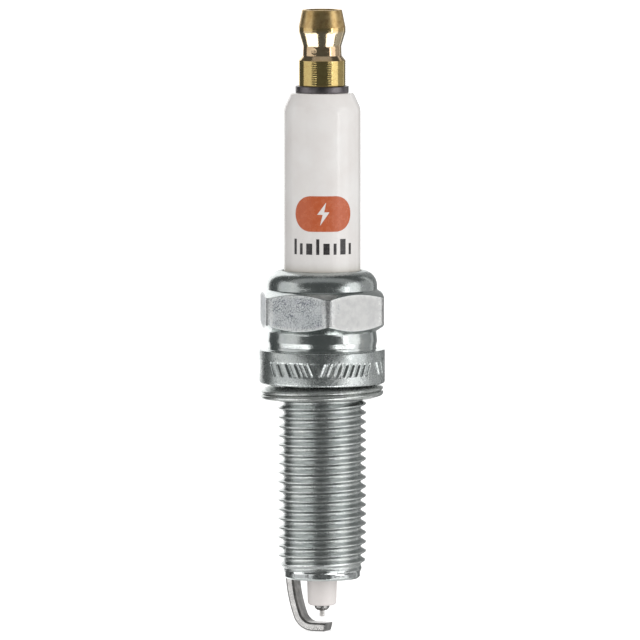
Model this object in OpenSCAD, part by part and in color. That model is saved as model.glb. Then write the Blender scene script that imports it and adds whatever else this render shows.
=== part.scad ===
// Long-reach M12 spark plug with a screw-on terminal nut, a folded captive gasket and a J-shaped ground
// electrode. Millimetres, +Z towards the terminal. The origin is on the plug's axis, in the plane of the
// shell's seat under the flange.

/* [Thread and seat] */
// Major diameter of the shell's M12 thread
thread_d = 11.9; // [11.6:0.05:12]
// Pitch of the shell's thread
thread_pitch = 1.25; // [1:0.05:1.5]
// Turns of the shell's thread
thread_turns = 18; // [12:1:18]
// Seat plane to the end of the shell
reach = 26.5; // [26.3:0.1:27.5]
// Diameter of the plain end of the shell, below the thread
pilot_d = 10.3; // [10:0.05:10.4]
// Diameter of the relief that the gasket hangs on
relief_d = 10.4; // [10:0.1:10.8]

/* [Shell body] */
// Wrench size across the flats
hex_af = 16; // [15.6:0.1:16.4]
// Diameter to which the hexagon's corners are turned
hex_corner_d = 18.3; // [17.6:0.1:18.6]
// Angle by which one corner of the hexagon is turned from -Y towards +X
hex_turn = 5.7; // [0:0.1:60]
// Diameter of the flange
flange_d = 17; // [16.4:0.1:18]
// Height of the flange
flange_h = 4.6; // [4:0.1:4.6]
// Diameter of the neck between the flange and the hexagon
neck_d = 14.4; // [14:0.1:14.6]
// Diameter of the rolled crimp above the hexagon
crimp_d = 14.9; // [14.6:0.1:15.2]
// Height of the top of the crimp above the seat
crimp_top = 15.3; // [15:0.1:15.6]

/* [Insulator] */
// Diameter of the insulator's barrel
barrel_d = 10.4; // [10:0.1:10.6]
// Height of the insulator's top face above the seat
barrel_top = 39.3; // [36:0.1:42]
// Diameter of the nose at its rounded end
nose_d = 3.86; // [3.6:0.02:4.2]
// Depth of the nose's end below the seat
nose_end = 30.2; // [29:0.1:30.3]
// Diameter of the long bore that holds the stud, the seals and the resistor
bore_d = 3.9; // [3.7:0.05:4]

/* [Terminal] */
// Height of the whole terminal above the seat
terminal_top = 50.5; // [50:0.1:51]
// Diameter of the terminal nut's two lands
terminal_d = 6.35; // [6.3:0.01:6.4]
// Diameter of the waist between the lands
waist_d = 5.3; // [5:0.05:5.6]
// Diameter of the stud's flange
stud_flange_d = 7.2; // [6.8:0.1:7.6]
// Thickness of the stud's flange
stud_flange_h = 0.9; // [0.7:0.1:1.2]
// Diameter of the stud's M4 thread over its crests
stud_d = 3.9; // [3.8:0.02:3.94]

/* [Electrodes] */
// Spark gap between the tip and the ground electrode
gap = 0.8; // [0.6:0.05:1.1]
// Diameter of the centre electrode
electrode_d = 2.1; // [1.8:0.05:2.14]
// Diameter of the fine tip
tip_d = 0.66; // [0.5:0.02:0.8]
// Depth of the tip's end below the seat
tip_end = 31.75; // [31.4:0.05:32]
// Width of the ground electrode's strap
strap_w = 2.5; // [2:0.1:2.8]
// Thickness of the ground electrode's strap
strap_t = 1.15; // [0.9:0.05:1.3]
// Angle from -X to the ground electrode's root, towards +Y
strap_turn = 24.5; // [0:0.5:90]

/* [Gasket] */
// Outside diameter of the folded gasket
gasket_d = 16.8; // [16:0.1:17]
// Thickness of its steel strip
gasket_sheet = 0.45; // [0.4:0.01:0.48]
// Gap between the seat and the loose gasket
gasket_drop = 0.15; // [0.1:0.01:0.2]

/* [Hidden] */
$fn = 96;

brass = [0.80, 0.62, 0.26];
dark_steel = [0.36, 0.35, 0.37];
white_glaze = [0.90, 0.89, 0.88];
zinc = [0.72, 0.75, 0.76];
nickel = [0.60, 0.59, 0.58];
copper = [0.80, 0.45, 0.30];

// Radii and levels that several sub-parts share
thread_r = thread_d / 2;
barrel_r = barrel_d / 2;
bore_r = bore_d / 2;
electrode_r = electrode_d / 2;
tip_r = tip_d / 2;
stud_r = stud_d / 2;
crimp_r = crimp_d / 2;
crimp_fold_r = 2.1;             // outer radius of the crimp's fold
fold_z = crimp_top - crimp_fold_r;
fold_r = crimp_r - crimp_fold_r;
lip_low = crimp_top - 1.1;      // underside of the crimp's lip
socket_r = barrel_r + 0.55;     // the shell's wide upper bore
socket_top = crimp_top - 1.6;
throat_r = 3.7;                 // the shell's long narrow bore
shoulder_r = socket_r - 0.15;   // the insulator's widest part
shoulder_top = 9.9;
shoulder_low = 3.9;
stem_r = throat_r - 0.1;        // the insulator inside the narrow bore
socket_low = shoulder_low - 0.3;
packing_r = (barrel_r + socket_r) / 2;
packing_wire_r = (socket_r - barrel_r) / 2 - 0.025;
seat_top = -13.2;               // top of the shell's inner seat, a 45 degree cone
seat_r = 2.95;                  // the narrowest place of the shell's bore
washer_t = 0.35;
nose_root_r = 2.7;
step_top = -12.2;               // where the insulator's wide bore ends
nose_bore_r = electrode_r + 0.05;
step_h = 0.7;
head_r = 1.65;                  // the centre electrode's head
head_top = -11.3;
lower_seal_top = -9.2;
resistor_top = -2.2;
upper_seal_top = 3.4;
stud_foot = -0.8;
tip_root = -30.5;               // where the tip is set into the centre electrode
core_r = 0.55;
core_end = -28.9;
stud_seat = barrel_top + stud_flange_h;

// Points of an arc about a centre, from one angle to another
function arc(centre, radius, from, to, steps = 8) =
    [for (i = [0:steps]) let (a = from + (to - from) * i / steps) centre + radius * [cos(a), sin(a)]];

// The insulator's 45-degree-like step in the bore, as a height at a radius
function step_z(r) = step_top - (bore_r - r) / (bore_r - nose_bore_r) * step_h;

// A body of revolution from an outline of [radius, height] points
module turned(outline) {
    rotate_extrude()
        polygon(outline);
}

// A plain ring or tube between two heights
module tube(outer_r, inner_r, low, high) {
    turned([[inner_r, low], [outer_r, low], [outer_r, high], [inner_r, high]]);
}

// A ring of round wire
module wire_ring(height) {
    translate([0, 0, height])
        rotate_extrude()
            translate([packing_r, 0])
                circle(packing_wire_r, $fn = 32);
}

module terminal_nut() {
    land_r = terminal_d / 2;
    waist_r = waist_d / 2;
    bore = stud_r + 0.08;
    color(brass)
        turned([
            [bore + 0.25, stud_seat], [land_r - 0.1, stud_seat], [land_r, stud_seat + 0.1],
            [land_r, stud_seat + 3.4], [waist_r + 0.12, stud_seat + 4.0], [waist_r, stud_seat + 4.25],
            [waist_r, stud_seat + 5.35], [waist_r + 0.1, stud_seat + 5.7],
            [land_r - 0.1, stud_seat + 7.15], [land_r, stud_seat + 7.4], [land_r, stud_seat + 7.9],
            [land_r - 0.42, terminal_top - 0.2], [land_r - 0.6, terminal_top],
            [bore + 0.2, terminal_top], [bore, terminal_top - 0.2], [bore, stud_seat + 0.25]
        ]);
}

module terminal_stud() {
    shank_r = bore_r - 0.1;
    foot_r = 1.5;
    rib_r = 1.65;
    rib_pitch = 0.8;
    stud_end = terminal_top - 0.9;
    color(dark_steel)
        turned(concat(
            [[0, stud_foot], [foot_r - 0.3, stud_foot], [foot_r, stud_foot + 0.3]],
            [for (i = [0:3], p = [[foot_r, 0], [rib_r, 0.2], [rib_r, 0.45], [foot_r, 0.65]])
                [p[0], stud_foot + 0.4 + i * rib_pitch + p[1]]],
            [[foot_r, 7.6], [shank_r, 8.2], [shank_r, barrel_top],
             [stud_flange_d / 2 - 0.08, barrel_top], [stud_flange_d / 2, barrel_top + 0.08],
             [stud_flange_d / 2, stud_seat - 0.08], [stud_flange_d / 2 - 0.08, stud_seat],
             [stud_r, stud_seat], [stud_r, stud_end - 0.5], [stud_r - 0.5, stud_end], [0, stud_end]]
        ));
}

module insulator() {
    edge_r = 0.5;
    nose_r = nose_d / 2;
    color(white_glaze)
        turned(concat(
            [[bore_r, barrel_top]],
            arc([barrel_r - 1.15, barrel_top - 0.4], 0.4, 90, 25, 4),
            arc([barrel_r - 1.6, barrel_top - 2.15], 1.6, 25, 0, 4),
            [[barrel_r, shoulder_top + 0.12], [barrel_r + 0.05, shoulder_top]],
            [[shoulder_r - 0.1, shoulder_top]],
            [[shoulder_r, shoulder_top - 0.1], [shoulder_r, shoulder_low]],
            [[stem_r, shoulder_low - (shoulder_r - stem_r)]],
            [[stem_r, seat_top + washer_t - (throat_r - stem_r)]],
            [[nose_root_r, seat_top + washer_t - (throat_r - nose_root_r)]],
            [[nose_r + 0.12, -reach + 0.5]],
            arc([nose_r - edge_r, -nose_end + edge_r], edge_r, 0, -90, 6),
            [[nose_bore_r, -nose_end], [nose_bore_r, step_top - step_h], [bore_r, step_top]]
        ));
}

module upper_glass_seal() {
    pocket_r = 1.65;
    color([0.45, 0.33, 0.27])
        turned([
            [0, resistor_top], [bore_r, resistor_top], [bore_r, upper_seal_top],
            [pocket_r, upper_seal_top], [pocket_r, stud_foot], [0, stud_foot]
        ]);
}

module resistor() {
    color([0.20, 0.20, 0.21])
        translate([0, 0, lower_seal_top])
            cylinder(h = resistor_top - lower_seal_top, r = bore_r);
}

module lower_glass_seal() {
    color([0.45, 0.33, 0.27])
        turned([
            [0, head_top], [head_r, head_top], [head_r, step_z(head_r)], [bore_r, step_top],
            [bore_r, lower_seal_top], [0, lower_seal_top]
        ]);
}

module centre_electrode() {
    cone_z = -nose_end - 0.05;
    collar_r = tip_r + 0.17;
    collar_z = cone_z - 0.55;
    color(nickel)
        turned([
            [core_r, head_top], [head_r, head_top], [head_r, step_z(head_r)],
            [electrode_r, step_z(electrode_r)], [electrode_r, cone_z + 0.4],
            [electrode_r - 0.08, cone_z], [collar_r, collar_z], [tip_r, collar_z - 0.08],
            [tip_r, tip_root], [0, tip_root], [0, core_end], [core_r, core_end]
        ]);
}

module copper_core() {
    color(copper)
        translate([0, 0, core_end])
            cylinder(h = head_top - core_end, r = core_r);
}

module iridium_tip() {
    color([0.78, 0.77, 0.76])
        translate([0, 0, -tip_end])
            cylinder(h = tip_end + tip_root, r = tip_r);
}

// Outline of the thread, as ridges with flat crests and 60 degree flanks, from the top down
function ridges() =
    let (depth = 0.7, crest = thread_pitch / 16, foot = crest + depth * tan(30), top = -2.45)
    [for (i = [0:thread_turns - 1],
          p = [[0, foot], [1, crest], [1, -crest], [0, -foot]])
        let (r = i < thread_turns - 1 ? thread_r : thread_r - 0.3)
        [p[0] == 1 ? r : thread_r - depth, top - thread_pitch * (i + 0.5) + p[1]]];

// Turned outline of the shell, without the hexagon
module shell_turned() {
    flange_r = flange_d / 2;
    neck_r = neck_d / 2;
    relief_r = relief_d / 2;
    pilot_r = pilot_d / 2;
    round_r = 0.5;
    turned(concat(
        // Crimp, neck and flange outside
        arc([fold_r, fold_z], crimp_fold_r, 90, 0, 10),
        [[crimp_r, hex_high], [neck_r, hex_high], [neck_r, hex_low - 0.3]],
        arc([neck_r - 1.3, flange_h + 1.2], 1.52, 32, -32, 6),
        [[neck_r - 0.1, flange_h], [flange_r - 0.2, flange_h], [flange_r, flange_h - 0.2]],
        arc([flange_r - round_r, round_r], round_r, 0, -90, 6),
        // Relief, thread and plain end
        [[relief_r + 0.2, 0], [relief_r, -0.2], [relief_r, -2.3]],
        ridges(),
        [[pilot_r, -reach + 1.3], [pilot_r, -reach + 0.3], [pilot_r - 0.3, -reach]],
        // Bore from the firing end to the crimp
        [[throat_r, -reach], [throat_r, seat_top - 3], [seat_r, seat_top - 2]],
        [[seat_r, seat_top - (throat_r - seat_r)], [throat_r, seat_top]],
        [[throat_r, socket_low - (socket_r - throat_r)], [socket_r, socket_low]],
        [[socket_r, socket_top], [fold_r, lip_low]]
    ));
}

// Levels between which the hexagon stands
hex_low = 7.1;
hex_high = 12.7;

// Six flats with conical chamfers above and below
module hexagon() {
    corner_r = hex_corner_d / 2;
    flat_r = hex_af / 2;
    intersection() {
        rotate([0, 0, hex_turn - 90])
            translate([0, 0, hex_low])
                cylinder(h = hex_high - hex_low, r = flat_r / cos(30), $fn = 6);
        turned([
            [socket_r, hex_low], [flat_r - 0.55, hex_low], [flat_r, hex_low + 0.35],
            [corner_r, hex_low + 1.1], [corner_r, hex_high - 0.9], [flat_r, hex_high - 0.3],
            [flat_r - 0.55, hex_high], [socket_r, hex_high]
        ]);
    }
}

module shell() {
    color(zinc)
        union() {
            shell_turned();
            hexagon();
        }
}

module upper_packing_ring() {
    color(dark_steel)
        wire_ring(socket_top - packing_wire_r);
}

module talc_packing() {
    color([0.86, 0.84, 0.80])
        tube(socket_r, barrel_r, shoulder_top + 2 * packing_wire_r + 0.02,
             socket_top - 2 * packing_wire_r - 0.02);
}

module lower_packing_ring() {
    color(dark_steel)
        wire_ring(shoulder_top + packing_wire_r);
}

module seat_washer() {
    inner_r = seat_r + 0.05;
    outer_r = stem_r;
    color(nickel)
        turned([
            [inner_r, seat_top - throat_r + inner_r], [outer_r, seat_top - throat_r + outer_r],
            [outer_r, seat_top - throat_r + outer_r + washer_t],
            [inner_r, seat_top - throat_r + inner_r + washer_t]
        ]);
}

// Cross-section of the gasket: one strip folded into four layers, with two round folds at the outer edge
// and one at the inner edge. The bottom layer ends outside the thread, and the top layer's lip is captive.
module gasket_section() {
    slit = 0.06;
    layer = gasket_sheet + slit;
    fold_outer_r = gasket_sheet + slit / 2;
    fold_at = gasket_d / 2 - fold_outer_r;
    inner_fold_at = 6.55;
    lip_r = 5.7;
    foot_r = 6.15;
    top = -gasket_drop;
    module strip(index, from, to) {
        translate([from, top - index * layer - gasket_sheet])
            square([to - from, gasket_sheet]);
    }
    module fold(index, at, side) {
        translate([at, top - index * layer - fold_outer_r])
            intersection() {
                difference() {
                    circle(fold_outer_r, $fn = 32);
                    circle(slit / 2, $fn = 16);
                }
                translate([side > 0 ? 0 : -1, -1])
                    square([1, 2]);
            }
    }
    strip(0, lip_r, fold_at);
    strip(1, inner_fold_at, fold_at);
    strip(2, inner_fold_at, fold_at);
    strip(3, foot_r, fold_at);
    fold(0, fold_at, 1);
    fold(1, inner_fold_at, -1);
    fold(2, fold_at, 1);
}

module gasket() {
    color(zinc)
        rotate_extrude()
            gasket_section();
}

// Side view of the strap: a gently leaning leg, a tight bend and a short flat end past the axis. The leg is
// drawn a little too long and cut off flush with the shell's end.
module ground_electrode() {
    root_r = 4.33;
    root_lean = 4;
    knee_lean = 21;
    knee_r = 2.3;
    past_axis = 1.06;
    floor_z = -tip_end - gap - strap_t / 2;
    leg_drop = -reach - floor_z - knee_r * (1 - sin(knee_lean));
    leg_r = leg_drop / (sin(knee_lean) - sin(root_lean));
    leg_centre = [root_r - leg_r * cos(root_lean), -reach + leg_r * sin(root_lean)];
    knee_centre = leg_centre + (leg_r - knee_r) * [cos(knee_lean), -sin(knee_lean)];
    half = strap_t / 2;
    outline = concat(
        arc(leg_centre, leg_r + half, 0, -knee_lean, 12),
        arc(knee_centre, knee_r + half, -knee_lean, -90, 14),
        [[-past_axis, floor_z - half], [-past_axis, floor_z + half]],
        arc(knee_centre, knee_r - half, -90, -knee_lean, 14),
        arc(leg_centre, leg_r - half, -knee_lean, 0, 12)
    );
    color(nickel)
        rotate([0, 0, 180 - strap_turn])
            rotate([90, 0, 0])
                linear_extrude(strap_w, center = true)
                    intersection() {
                        polygon(outline);
                        translate([-10, -reach - 10])
                            square([20, 10]);
                    }
}

terminal_nut();
terminal_stud();
insulator();
upper_glass_seal();
resistor();
lower_glass_seal();
centre_electrode();
copper_core();
iridium_tip();
shell();
upper_packing_ring();
talc_packing();
lower_packing_ring();
seat_washer();
gasket();
ground_electrode();
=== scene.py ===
"""Looks for the spark plug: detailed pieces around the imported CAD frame, their materials, light and camera.

Outlines are (radius, height) points in millimetres in the part's own frame. The origin is on the axis in the
plane of the shell's seat, and +Z points to the terminal. add_piece() turns millimetres into metres.
"""

from math import atan, ceil, cos, degrees, exp, hypot, pi, radians, sin, sqrt, tan

import bmesh
import bpy
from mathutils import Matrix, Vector


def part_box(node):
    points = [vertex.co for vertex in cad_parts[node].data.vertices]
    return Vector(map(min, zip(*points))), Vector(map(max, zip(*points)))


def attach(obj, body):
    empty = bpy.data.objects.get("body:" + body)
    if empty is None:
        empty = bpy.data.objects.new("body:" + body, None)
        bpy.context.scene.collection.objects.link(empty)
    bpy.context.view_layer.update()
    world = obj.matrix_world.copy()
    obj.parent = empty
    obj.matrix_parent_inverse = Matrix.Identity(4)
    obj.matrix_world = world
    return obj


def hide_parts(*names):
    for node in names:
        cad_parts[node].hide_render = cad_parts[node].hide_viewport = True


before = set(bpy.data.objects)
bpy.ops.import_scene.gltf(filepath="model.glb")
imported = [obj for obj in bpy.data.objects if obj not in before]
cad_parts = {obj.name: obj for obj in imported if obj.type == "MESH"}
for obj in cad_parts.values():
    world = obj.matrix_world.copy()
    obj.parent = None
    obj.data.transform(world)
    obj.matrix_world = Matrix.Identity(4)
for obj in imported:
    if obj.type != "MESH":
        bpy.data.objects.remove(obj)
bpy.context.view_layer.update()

MM = 0.001


def levels(node):
    """Lowest and highest level of a CAD node, in millimetres."""
    low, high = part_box(node)
    return low.z / MM, high.z / MM


def radius(node):
    """Half of a CAD node's width along X, in millimetres."""
    low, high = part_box(node)
    return (high.x - low.x) / 2 / MM


# ---- sizes from the frame

NUT_LOW, NUT_TOP = levels("terminal_nut")
NUT_R = radius("terminal_nut")
STUD_LOW, STUD_TOP = levels("terminal_stud")
STUD_FLANGE_R = radius("terminal_stud")
NOSE_END, BARREL_TOP = levels("insulator")
SHELL_END, CRIMP_TOP = levels("shell")
FLANGE_R = radius("shell")
GASKET_LOW, GASKET_TOP = levels("gasket")
GASKET_R = radius("gasket")
TIP_END, TIP_ROOT = levels("iridium_tip")
TIP_R = radius("iridium_tip")
CORE_END, HEAD_TOP = levels("copper_core")
CORE_R = radius("copper_core")
STRAP_LOW, STRAP_TOP = levels("ground_electrode")

# ---- sizes of the details

HEX_FLAT_R = 8.0
HEX_CORNER_ROUND = 1.0
HEX_TURN = radians(5.7)
HEX_LOW, HEX_HIGH = 7.1, 12.7
FLANGE_H = 4.6
CRIMP_R = 7.45
CRIMP_FOLD_R = 2.1          # outer radius of the crimp's fold
NECK_R = 7.36               # at the top of the neck
RELIEF_R = 5.2
THREAD_R = 5.95
THREAD_DEPTH = 0.7
THREAD_PITCH = 1.25
THREAD_CREST_AT = -2.77     # height of a crest where the helix crosses +X
PILOT_R = 5.15              # plain end below the thread
PILOT_TOP = -25.6
BORE_R = 1.95               # the insulator's long bore
BARREL_R = 5.2
THROAT_R = 3.7              # the shell's long narrow bore
SOCKET_R = 5.75             # the shell's wide upper bore
STUD_R = 1.95
M4_PITCH = 0.7
M4_CREST_AT = 40.0          # likewise for the stud's thread
NUT_WAIST_R = 2.6
STRAP_W = 2.5
STRAP_T = 1.15
STRAP_TURN = radians(24.5)
STRAP_ROOT_LEAN = radians(4)
STRAP_KNEE_LEAN = radians(21)


# ---- outlines

def spread(start, end, steps):
    """Evenly spaced values from the start to the end."""
    return [start + (end - start) * i / steps for i in range(steps + 1)]


def arc(centre, size, start, end, steps):
    """Points of an arc about a centre, with angles in degrees."""
    angles = [radians(a) for a in spread(start, end, steps)]
    return [(centre[0] + size * cos(a), centre[1] + size * sin(a)) for a in angles]


def rounded(corners, steps=4):
    """Outline through corners of (radius, height) or (radius, height, fillet)."""
    points = []
    for i, corner in enumerate(corners):
        fillet = corner[2] if len(corner) > 2 else 0
        here = Vector(corner[:2])
        if not fillet:
            points.append(tuple(here))
            continue
        back = (Vector(corners[i - 1][:2]) - here).normalized()
        ahead = (Vector(corners[i + 1][:2]) - here).normalized()
        half = back.angle(ahead) / 2
        centre = here + (back + ahead).normalized() * fillet / sin(half)
        first = here + back * fillet / tan(half) - centre
        last = here + ahead * fillet / tan(half) - centre
        whole = first.angle(last)
        for k in range(steps + 1):
            t = k / steps
            arm = (first * sin((1 - t) * whole) + last * sin(t * whole)) / sin(whole)
            points.append(tuple(centre + arm))
    return points


def even_angles(count):
    return [2 * pi * j / count for j in range(count)]


class Skin:
    """A surface put together ring by ring round the Z axis, in millimetres."""

    def __init__(self):
        self.points = []
        self.faces = []
        self.finishes = []
        self.finish = 0

    def ring(self, angles, at):
        """Adds a ring of points, where at(angle) gives the radius and height."""
        start = len(self.points)
        for a in angles:
            r, z = at(a)
            self.points.append((r * cos(a), r * sin(a), z))
        return list(range(start, len(self.points)))

    def face(self, *corners):
        self.faces.append(corners)
        self.finishes.append(self.finish)

    def bridge(self, upper, lower):
        """Joins two rings with the same number of points."""
        for j in range(len(upper)):
            k = (j + 1) % len(upper)
            self.face(upper[j], lower[j], lower[k], upper[k])

    def stack(self, rings):
        """Bridges each ring to the next, and returns the first and the last."""
        for upper, lower in zip(rings, rings[1:]):
            self.bridge(upper, lower)
        return rings[0], rings[-1]

    def splice(self, coarse, fine, counts, fine_below):
        """Joins a coarse ring to a fine one that has counts[j] points along the coarse ring's side j."""
        at = 0
        for j in range(len(coarse)):
            k = (j + 1) % len(coarse)
            run = [fine[(at + i) % len(fine)] for i in range(counts[j] + 1)]
            at += counts[j]
            if fine_below:
                self.face(coarse[j], *run, coarse[k])
            else:
                self.face(run[0], coarse[j], coarse[k], *reversed(run[1:]))

    def lathe(self, angles, outline):
        """Revolves an outline and returns its first and last rings. A point on the axis is a ring of one."""
        first = previous = None
        for r, z in outline:
            if r < 1e-9:
                self.points.append((0.0, 0.0, z))
                here = [len(self.points) - 1]
            else:
                here = self.ring(angles, lambda a: (r, z))
            if previous is not None:
                self.join(previous, here)
            first = first or here
            previous = here
        return first, previous

    def join(self, upper, lower):
        """Joins two rings, of which one may be a point on the axis."""
        if len(upper) == len(lower):
            self.bridge(upper, lower)
            return
        count = max(len(upper), len(lower))
        for j in range(count):
            k = (j + 1) % count
            if len(upper) == 1:
                self.face(upper[0], lower[j], lower[k])
            else:
                self.face(upper[j], lower[0], upper[k])


# ---- pieces

def add_piece(name, skin, materials, body, slot, *nodes, sharp=28, weld=True):
    """Makes a smooth piece from a skin. It rides on its body and stands in for the CAD nodes."""
    mesh = bpy.data.meshes.new(name)
    mesh.from_pydata([tuple(c * MM for c in p) for p in skin.points], [], skin.faces)
    for material in materials:
        mesh.materials.append(material)
    mesh.polygons.foreach_set("material_index", skin.finishes)
    solid = bmesh.new()
    solid.from_mesh(mesh)
    if weld:
        bmesh.ops.remove_doubles(solid, verts=solid.verts, dist=1e-4 * MM)
    bmesh.ops.recalc_face_normals(solid, faces=solid.faces)
    solid.to_mesh(mesh)
    solid.free()
    mesh.shade_smooth()
    mesh.set_sharp_from_angle(angle=radians(sharp))
    piece = bpy.data.objects.new(name, mesh)
    bpy.context.scene.collection.objects.link(piece)
    piece.modifiers.new("even_normals", "WEIGHTED_NORMAL").keep_sharp = True
    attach(piece, body)
    if nodes:
        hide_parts(*nodes)
    return piece


# ---- threads

def thread_profile(root_r, crest_r, pitch):
    """Outline of one pitch of a 60 degree thread, from the middle of one root down to the next."""
    crest = pitch / 16              # half of the crest's flat, as in the standard profile
    foot = crest + (crest_r - root_r) * tan(radians(30))
    middle = -pitch / 2
    root_fillet, crest_fillet = 0.08 * pitch, 0.045 * pitch
    return rounded([
        (root_r, 0), (root_r, middle + foot, root_fillet), (crest_r, middle + crest, crest_fillet),
        (crest_r, middle - crest, crest_fillet), (root_r, middle - foot, root_fillet), (root_r, -pitch),
    ], steps=2)[:-1]


def along(outline, z):
    """Radius at a height on an outline that goes down."""
    for (r0, z0), (r1, z1) in zip(outline, outline[1:]):
        if z0 >= z >= z1:
            return r0 + (r1 - r0) * (z0 - z) / (z0 - z1)
    return outline[0][0] if z > outline[0][1] else outline[-1][0]


def add_thread(skin, angles, profile, pitch, crest_at, envelope):
    """Adds a right-hand thread inside an envelope, and returns its top and bottom rings.

    Rows of points follow the helix, so crests and roots stay crisp. A row that would pass the envelope's top
    or bottom is held there, and welding takes away what that flattens.
    """
    top, bottom = envelope[0][1], envelope[-1][1]
    seam = angles[0]
    start = crest_at + pitch / 2 + pitch * seam / (2 * pi)
    while start < top:
        start += pitch
    rows = len(profile) * (ceil((start - bottom) / pitch) + 1)

    def point(row, angle):
        turn, i = divmod(row, len(profile))
        r, z = profile[i]
        z += start - turn * pitch + pitch * (angle - seam) / (2 * pi)
        z = min(max(z, bottom), top)
        return min(r, along(envelope, z)), z

    rings = [skin.ring(angles, lambda a: point(row, a)) for row in range(-len(profile), rows)]
    for row in range(len(rings) - 1):
        upper, lower = rings[row], rings[row + 1]
        for j in range(len(angles) - 1):
            skin.face(upper[j], lower[j], lower[j + 1], upper[j + 1])
        if row >= len(profile):
            over = rings[row - len(profile)], rings[row - len(profile) + 1]
            skin.face(upper[-1], lower[-1], over[1][0], over[0][0])
    return rings[0], rings[-1]


# ---- shell

def hex_radius(angle):
    """Distance from the axis to the hexagon's side, with rounded corners."""
    sector = pi / 3
    off = (angle - (HEX_TURN - pi / 2) + sector / 2) % sector - sector / 2
    centre = (HEX_FLAT_R - HEX_CORNER_ROUND) / cos(sector / 2)
    tangent = (HEX_FLAT_R - HEX_CORNER_ROUND) * tan(sector / 2)
    if abs(off) >= sector / 2 - atan(tangent / HEX_FLAT_R):
        return HEX_FLAT_R / cos(sector / 2 - abs(off))
    return centre * cos(off) + sqrt(HEX_CORNER_ROUND ** 2 - (centre * sin(off)) ** 2)


def shell_angles():
    """Evenly spaced columns that fall on the hexagon's corners."""
    return [HEX_TURN + radians(150 + 2.5 * j) for j in range(144)]


def refine(angles, near=30):
    """Splits steps between angles in five. Near is how far from a corner of the hexagon, in degrees."""
    fine, counts = [], []
    step = angles[1] - angles[0]
    for a in angles:
        from_corner = degrees(a + step / 2 - HEX_TURN) % 60 - 30
        count = 5 if abs(from_corner) <= near else 1
        counts.append(count)
        fine += [a + step * i / count for i in range(count)]
    return fine, counts


def flange_marks():
    """Stamped strokes on the flange's band, as (start, end) points of (way round, height)."""
    falling = (-0.33, 3.0), (0.33, 1.5)
    rising = (-0.25, 1.6), (0.25, 2.9)
    rows = (-7.6, 1.43, 5, falling), (0.3, 0.95, 8, rising), (9.2, 1.45, 11, falling)
    marks = []
    for first, spacing, count, stroke in rows:
        marks += [[(first + spacing * i + x, z) for x, z in stroke] for i in range(count)]
    return marks


def mark_relief(marks, x, z):
    """How far the surface stands out at a place on the band: strokes are sunk, with a raised rim."""
    half_width, depth, rim = 0.2, 0.15, 0.045
    reach, rim_at = 1.2, 1.7
    relief = 0.0
    for (x0, z0), (x1, z1) in marks:
        if abs(x - (x0 + x1) / 2) > reach:
            continue
        t = ((x - x0) * (x1 - x0) + (z - z0) * (z1 - z0)) / ((x1 - x0) ** 2 + (z1 - z0) ** 2)
        t = min(max(t, 0), 1)
        away = hypot(x - x0 - t * (x1 - x0), z - z0 - t * (z1 - z0)) / half_width
        relief -= depth * exp(-(away ** 2) * 1.4)
        relief += rim * exp(-((away - rim_at) ** 2) * 4)
    return relief


def add_flange_band(skin, angles, above):
    """Adds the flange's stamped band on a fine grid, and returns the coarse ring below it."""
    high, low, sink, rows = 3.3, 1.2, 0.045, 32
    fine, counts = refine(angles)
    marks = flange_marks()

    def fade(inwards):
        """Rises from 0 to 1 on the way into the band from one of its edges."""
        return min(1, max(0, inwards / 0.12 - 0.4))

    def surface(a, z):
        way = (a + pi / 2 + pi) % (2 * pi) - pi
        relief = mark_relief(marks, FLANGE_R * way, z) - sink
        return FLANGE_R + fade(high - z) * fade(z - low) * relief, z

    top, bottom = skin.stack([skin.ring(fine, lambda a: surface(a, z)) for z in spread(high, low, rows)])
    skin.splice(above, top, counts, True)
    below = skin.ring(angles, lambda a: (FLANGE_R, low - 0.1))
    skin.splice(below, bottom, counts, False)
    return below


# Finishes of the shell, in the order of its materials
TURNED, HEX_FLAT, ROLLED = range(3)


def add_hexagon(skin, angles, above):
    """Adds the hexagon with its chamfers, and returns its last, fine ring and that ring's counts."""
    steps, upper_slope, lower_slope = 3, 0.53, 0.645
    fold_z = CRIMP_TOP - CRIMP_FOLD_R
    flat_row = 2 * (steps + 1)      # rows of the two fillets above the flat

    def section(a):
        r = hex_radius(a)
        return rounded([
            (CRIMP_R, fold_z), (CRIMP_R, HEX_HIGH, 0.12), (r, HEX_HIGH - (r - CRIMP_R) * upper_slope, 0.1),
            (r, HEX_LOW + (r - CRIMP_R) * lower_slope, 0.1), (NECK_R, HEX_LOW - 0.05, 0.06), (NECK_R, 6.5),
        ], steps)[1:-1]

    fine, counts = refine(angles, 4)
    sections = dict(zip(fine, (section(a) for a in fine)))
    last = None
    for row in range(len(sections[fine[0]])):
        here = skin.ring(fine, lambda a: sections[a][row])
        skin.finish = HEX_FLAT if row == flat_row else TURNED
        if last:
            skin.bridge(last, here)
        else:
            skin.splice(above, here, counts, True)
        last = here
    skin.finish = TURNED
    return last, counts


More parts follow.
